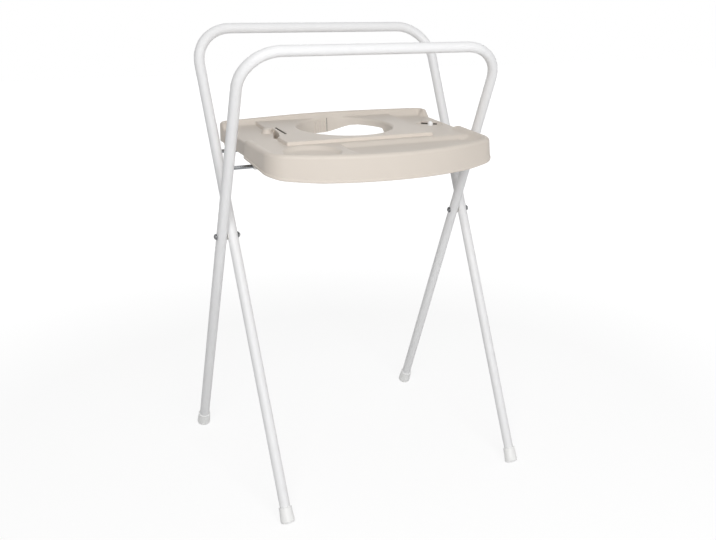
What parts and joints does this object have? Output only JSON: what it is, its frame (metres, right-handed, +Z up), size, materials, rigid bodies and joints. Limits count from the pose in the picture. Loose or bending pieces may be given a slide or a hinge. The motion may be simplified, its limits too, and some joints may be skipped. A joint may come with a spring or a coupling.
{
  "type": "folding baby bath stand",
  "caption": "Folding stand for a baby bath: crossing inverted-U tube frames whose top bars are the bath's rails, a moulded tray on cross rods, and foot caps.",
  "frame": {"origin": "on the floor, midway between the legs and straight under the pivot axis", "axes": "+Z up, +X to the stand's right along the rails and the pivot axis, -Y to the front where the tray's skirt is"},
  "size_m": [0.6158, 0.5702, 0.99],
  "materials": {
    "white_coat": "gloss powder coat",
    "foot_plastic": "satin",
    "zinc": "bright zinc plate",
    "bolt_steel": "dark zinc plate",
    "nylon": "natural nylon",
    "tray_plastic": "satin, warm beige",
    "stud_plastic": "gloss",
    "clip_plastic": "satin"
  },
  "bodies": {
    "rear_rail_frame": {"frame_rear_rail": "white_coat", "foot_front_left": "foot_plastic", "foot_front_right": "foot_plastic", "rod_rear": "zinc", "pivot_bolt_left": "bolt_steel", "pivot_bolt_right": "bolt_steel", "pivot_nut_left": "bolt_steel", "pivot_nut_right": "bolt_steel", "pivot_spacer_left": "nylon", "pivot_spacer_right": "nylon", "pivot_washers_left": "zinc", "pivot_washers_right": "zinc"},
    "front_rail_frame": {"frame_front_rail": "white_coat", "foot_back_left": "foot_plastic", "foot_back_right": "foot_plastic", "rod_front": "zinc"},
    "tray": {"tray": "tray_plastic", "tray_stud": "stud_plastic", "front_clip_left": "clip_plastic", "front_clip_right": "clip_plastic", "front_clip_screw_left": "zinc", "front_clip_screw_right": "zinc"}
  },
  "joints": [
    {"name": "frame_fold", "type": "hinge", "parent": "rear_rail_frame", "child": "front_rail_frame", "pos_m": [0, 0, 0.57], "axis": [-1, 0, 0], "range_deg": [0, 43.5]},
    {"name": "tray_tilt", "type": "hinge", "parent": "rear_rail_frame", "child": "tray", "pos_m": [0, 0.0796, 0.735], "axis": [-1, 0, 0], "range_deg": [0, 87]}
  ],
  "couplings": [
    {"joint": "tray_tilt", "follows": "frame_fold", "ratio": 2}
  ]
}
